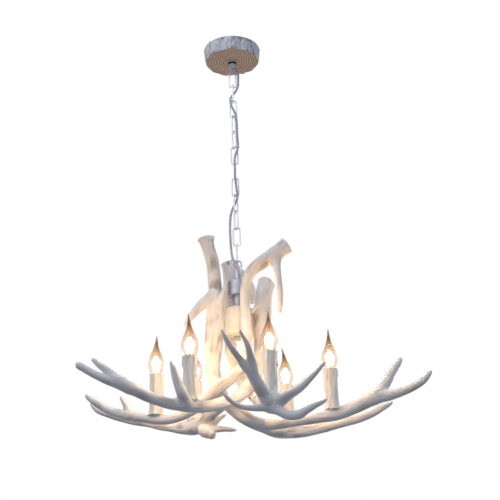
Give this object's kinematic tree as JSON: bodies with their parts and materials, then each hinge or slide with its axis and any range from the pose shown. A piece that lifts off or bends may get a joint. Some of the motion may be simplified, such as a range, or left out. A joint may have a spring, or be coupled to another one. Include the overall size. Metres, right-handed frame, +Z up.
{
  "type": "antler chandelier",
  "caption": "Ceiling chandelier of interlocked white resin antlers bearing candle-style lamps with flame bulbs, hung by a link chain from a wood-slice canopy.",
  "frame": {"origin": "on the hanging axis in the ceiling plane, midway between the bracket's two ceiling screws", "axes": "+Z up, along the hanging axis towards the ceiling; +X along the ceiling bracket, to the right in the picture; +Y away from the viewer of the picture"},
  "size_m": [0.7705, 0.5158, 0.9628],
  "materials": {
    "zinc_steel": "zinc plated, satin",
    "wood_slice": "weathered bark rim and sawn face, matt",
    "white_metal": "white paint, satin",
    "grey_metal": "grey, satin",
    "dark_metal": "dark grey, satin",
    "chain_steel": "nickel plated, polished",
    "terminal_plastic": "glossy",
    "brass": "turned",
    "cable_sheath": "grey sheath",
    "white_plastic": "glossy",
    "antler_resin": "cast resin, white, matt with grain",
    "wax_plastic": "wax-look sleeve with drips",
    "holder_plastic": "glossy",
    "bulb_glass": "clear",
    "cap_metal": "bright"
  },
  "bodies": {
    "ceiling_part": {"ceiling_bracket": "zinc_steel", "threaded_nipple": "zinc_steel", "nipple_lock_nuts": "zinc_steel", "canopy": "wood_slice", "canopy_collar": "white_metal", "canopy_loop": "grey_metal", "terminal_block": "terminal_plastic", "terminal_screws": "brass", "cable": "cable_sheath"},
    "link_01": {"chain_link_01": "chain_steel"},
    "link_02": {"chain_link_02": "chain_steel"},
    "link_03": {"chain_link_03": "chain_steel"},
    "link_04": {"chain_link_04": "chain_steel"},
    "link_05": {"chain_link_05": "chain_steel"},
    "link_06": {"chain_link_06": "chain_steel"},
    "link_07": {"chain_link_07": "chain_steel"},
    "link_08": {"chain_link_08": "chain_steel"},
    "link_09": {"chain_link_09": "chain_steel"},
    "link_10": {"chain_link_10": "chain_steel"},
    "link_11": {"chain_link_11": "chain_steel"},
    "link_12": {"chain_link_12": "chain_steel"},
    "lamp": {"hub_loop": "grey_metal", "wiring_cup": "dark_metal", "cable_bushing": "white_plastic", "hub_stem": "dark_metal", "hub_drum": "antler_resin", "hub_rod": "zinc_steel", "rod_nut_and_washer": "zinc_steel", "antler_right": "antler_resin", "antler_left": "antler_resin", "antler_near_left": "antler_resin", "antler_near_right": "antler_resin", "antler_far_right": "antler_resin", "antler_far_left": "antler_resin", "antler_screws": "zinc_steel", "candle_nipples": "zinc_steel", "candle_sleeve_1": "wax_plastic", "candle_sleeve_2": "wax_plastic", "candle_sleeve_3": "wax_plastic", "candle_sleeve_4": "wax_plastic", "candle_sleeve_5": "wax_plastic", "candle_sleeve_6": "wax_plastic", "lamp_holder_1": "holder_plastic", "lamp_holder_2": "holder_plastic", "lamp_holder_3": "holder_plastic", "lamp_holder_4": "holder_plastic", "lamp_holder_5": "holder_plastic", "lamp_holder_6": "holder_plastic"},
    "bulb_1": {"bulb_glass_1": "bulb_glass", "bulb_cap_1": "cap_metal"},
    "bulb_2": {"bulb_glass_2": "bulb_glass", "bulb_cap_2": "cap_metal"},
    "bulb_3": {"bulb_glass_3": "bulb_glass", "bulb_cap_3": "cap_metal"},
    "bulb_4": {"bulb_glass_4": "bulb_glass", "bulb_cap_4": "cap_metal"},
    "bulb_5": {"bulb_glass_5": "bulb_glass", "bulb_cap_5": "cap_metal"},
    "bulb_6": {"bulb_glass_6": "bulb_glass", "bulb_cap_6": "cap_metal"}
  },
  "joints": [
    {"name": "link_01_swing", "type": "hinge", "parent": "ceiling_part", "child": "link_01", "pos_m": [0, 0, -0.062], "axis": [0, 1, 0], "range_deg": [-7, 7], "deforming": ["cable"]},
    {"name": "link_02_swing", "type": "hinge", "parent": "link_01", "child": "link_02", "pos_m": [0, 0, -0.1029], "axis": [1, 0, 0], "range_deg": [-7, 7]},
    {"name": "link_03_swing", "type": "hinge", "parent": "link_02", "child": "link_03", "pos_m": [0, 0, -0.144], "axis": [0, 1, 0], "range_deg": [-7, 7]},
    {"name": "link_04_swing", "type": "hinge", "parent": "link_03", "child": "link_04", "pos_m": [0, 0, -0.1851], "axis": [1, 0, 0], "range_deg": [-7, 7]},
    {"name": "link_05_swing", "type": "hinge", "parent": "link_04", "child": "link_05", "pos_m": [0, 0, -0.2262], "axis": [0.5, 0.866, 0], "range_deg": [-7, 7]},
    {"name": "link_06_swing", "type": "hinge", "parent": "link_05", "child": "link_06", "pos_m": [0, 0, -0.2673], "axis": [-0.5, 0.866, 0], "range_deg": [-7, 7]},
    {"name": "link_07_swing", "type": "hinge", "parent": "link_06", "child": "link_07", "pos_m": [0, 0, -0.3084], "axis": [1, 0, 0], "range_deg": [-7, 7]},
    {"name": "link_08_swing", "type": "hinge", "parent": "link_07", "child": "link_08", "pos_m": [0, 0, -0.3495], "axis": [0, 1, 0], "range_deg": [-7, 7]},
    {"name": "link_09_swing", "type": "hinge", "parent": "link_08", "child": "link_09", "pos_m": [0, 0, -0.3906], "axis": [1, 0, 0], "range_deg": [-7, 7]},
    {"name": "link_10_swing", "type": "hinge", "parent": "link_09", "child": "link_10", "pos_m": [0, 0, -0.4317], "axis": [0.5, 0.866, 0], "range_deg": [-7, 7]},
    {"name": "link_11_swing", "type": "hinge", "parent": "link_10", "child": "link_11", "pos_m": [0, 0, -0.4728], "axis": [-0.5, 0.866, 0], "range_deg": [-7, 7]},
    {"name": "link_12_swing", "type": "hinge", "parent": "link_11", "child": "link_12", "pos_m": [0, 0, -0.5139], "axis": [1, 0, 0], "range_deg": [-7, 7]},
    {"name": "lamp_swing", "type": "hinge", "parent": "link_12", "child": "lamp", "pos_m": [0, 0, -0.555], "axis": [0, 1, 0], "range_deg": [-7, 7]},
    {"name": "bulb_1_unscrew", "type": "slide", "parent": "lamp", "child": "bulb_1", "axis": [0, 0, 1], "range_m": [0, 0.0113]},
    {"name": "bulb_2_unscrew", "type": "slide", "parent": "lamp", "child": "bulb_2", "axis": [0, 0, 1], "range_m": [0, 0.0113]},
    {"name": "bulb_3_unscrew", "type": "slide", "parent": "lamp", "child": "bulb_3", "axis": [0, 0, 1], "range_m": [0, 0.0113]},
    {"name": "bulb_4_unscrew", "type": "slide", "parent": "lamp", "child": "bulb_4", "axis": [0, 0, 1], "range_m": [0, 0.0113]},
    {"name": "bulb_5_unscrew", "type": "slide", "parent": "lamp", "child": "bulb_5", "axis": [0, 0, 1], "range_m": [0, 0.0113]},
    {"name": "bulb_6_unscrew", "type": "slide", "parent": "lamp", "child": "bulb_6", "axis": [0, 0, 1], "range_m": [0, 0.0113]}
  ]
}
